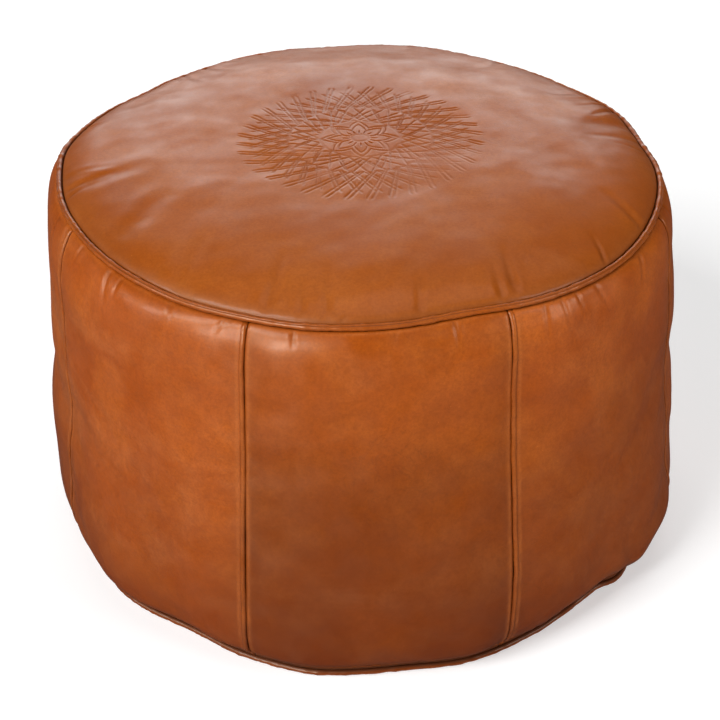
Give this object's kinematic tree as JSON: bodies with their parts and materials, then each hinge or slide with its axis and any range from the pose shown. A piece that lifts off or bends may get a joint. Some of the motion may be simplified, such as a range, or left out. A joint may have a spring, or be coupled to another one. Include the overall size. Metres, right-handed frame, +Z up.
{
  "type": "leather pouf",
  "caption": "Round stuffed leather pouf with piped seams between its panels, a crowned top with a blind-pressed medallion, and a zip in its base.",
  "frame": {"origin": "centre of the underside of the base, on the floor that the pouf stands on", "axes": "+Z up through the middle of the top; the middle of side panel 1 faces -Y; the zip in the base runs along X, and its slider is at the +X end when it is closed"},
  "size_m": [0.6014, 0.6014, 0.3718],
  "materials": {
    "top_leather": "waxed, satin, slightly greyed, worn",
    "side_leather": "waxed, glossy, mottled tan and orange brown",
    "base_leather": "satin, plainer than the sides",
    "piping_leather": "waxed, glossy, dark at its edges",
    "cotton_cord": "matt twisted cotton",
    "thread": "waxed thread",
    "liner_cotton": "plain weave calico",
    "stuffing_cotton": "loose cotton",
    "zip_tape_cloth": "herringbone tape",
    "zip_metal": "tumbled brass"
  },
  "bodies": {
    "pouf": {"top_panel": "top_leather", "side_panel_1": "side_leather", "side_panel_2": "side_leather", "side_panel_3": "side_leather", "side_panel_4": "side_leather", "side_panel_5": "side_leather", "side_panel_6": "side_leather", "side_panel_7": "side_leather", "side_panel_8": "side_leather", "side_welt_1": "piping_leather", "side_welt_2": "piping_leather", "side_welt_3": "piping_leather", "side_welt_4": "piping_leather", "side_welt_5": "piping_leather", "side_welt_6": "piping_leather", "side_welt_7": "piping_leather", "side_welt_8": "piping_leather", "rim_piping": "piping_leather", "rim_piping_cord": "cotton_cord", "foot_piping": "piping_leather", "foot_piping_cord": "cotton_cord", "base_half_front": "base_leather", "base_half_rear": "base_leather", "zip_end_tab_left": "piping_leather", "zip_end_tab_right": "piping_leather", "rim_seam_thread": "thread", "foot_seam_thread": "thread", "side_seam_thread": "thread", "zip_seam_thread": "thread", "liner_bag": "liner_cotton", "stuffing": "stuffing_cotton", "zip_tape_front": "zip_tape_cloth", "zip_tape_rear": "zip_tape_cloth", "zip_teeth_front": "zip_metal", "zip_teeth_rear": "zip_metal", "zip_top_stops": "zip_metal", "zip_bottom_stop": "zip_metal"},
    "zip_slider": {"zip_slider": "zip_metal"},
    "zip_pull": {"zip_pull": "zip_metal"}
  },
  "joints": [
    {"name": "zip_slide", "type": "slide", "parent": "pouf", "child": "zip_slider", "axis": [-1, 0, 0], "range_m": [0, 0.38]},
    {"name": "pull_swing", "type": "hinge", "parent": "zip_slider", "child": "zip_pull", "pos_m": [0.1975, 0, 0.0046], "axis": [0, -1, 0], "range_deg": [0, 180]}
  ]
}
